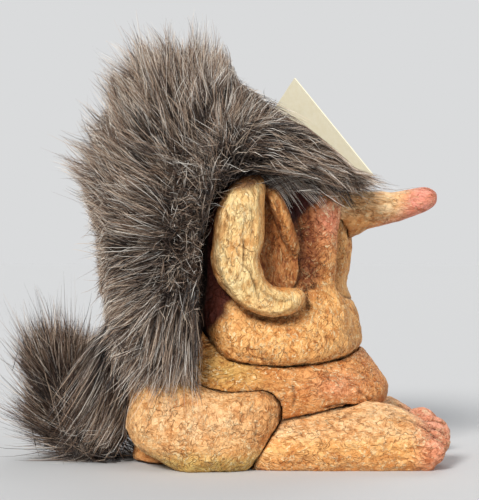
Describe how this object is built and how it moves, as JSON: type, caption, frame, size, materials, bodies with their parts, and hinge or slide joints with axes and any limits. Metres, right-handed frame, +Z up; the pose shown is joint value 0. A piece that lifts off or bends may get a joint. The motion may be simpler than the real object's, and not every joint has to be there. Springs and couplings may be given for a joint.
{
  "type": "norwegian troll figure",
  "caption": "Squatting folk troll figure with a long nose, big cupped ears, heavy jaw, pot belly, bare feet, a shaggy fur mane and a fur tail, and a plain card tag.",
  "frame": {"origin": "on the plane the figure stands on, under the middle of the body between hips and feet", "axes": "+X the way the figure looks, +Z up, +Y to the figure's left"},
  "size_m": [0.1499, 0.0888, 0.1452],
  "materials": {
    "skin": "matt moulded compound, fibrous and flaky, ochre with pink and a dark wash in the grooves",
    "fur": "coarse dark grey-brown fur with paler tips",
    "pelt": "thin undyed hide",
    "eye": "polished amber-brown bead with a dark pupil",
    "dowel": "plain round dowel",
    "card": "plain cream card, bare"
  },
  "bodies": {
    "figure": {"head": "skin", "torso": "skin", "nose": "skin", "ear_right": "skin", "ear_left": "skin", "eye_right": "eye", "eye_left": "eye", "haunch_right": "skin", "haunch_left": "skin", "foot_right": "skin", "foot_left": "skin", "neck_dowel": "dowel", "hip_dowel": "dowel", "nose_peg": "dowel", "mane_pelt": "pelt", "mane_fur": "fur"},
    "tail": {"tail_core": "pelt", "tail_fur": "fur"},
    "tag": {"paper_tag": "card"}
  },
  "joints": [
    {"name": "tail_swing", "type": "hinge", "parent": "figure", "child": "tail", "pos_m": [-0.033, 0, 0.01], "axis": [0, 0, 1], "range_deg": [-20, 20]},
    {"name": "tag_pull", "type": "slide", "parent": "figure", "child": "tag", "axis": [0.4307, -0.6603, 0.6152], "range_m": [0, 0.045]}
  ]
}
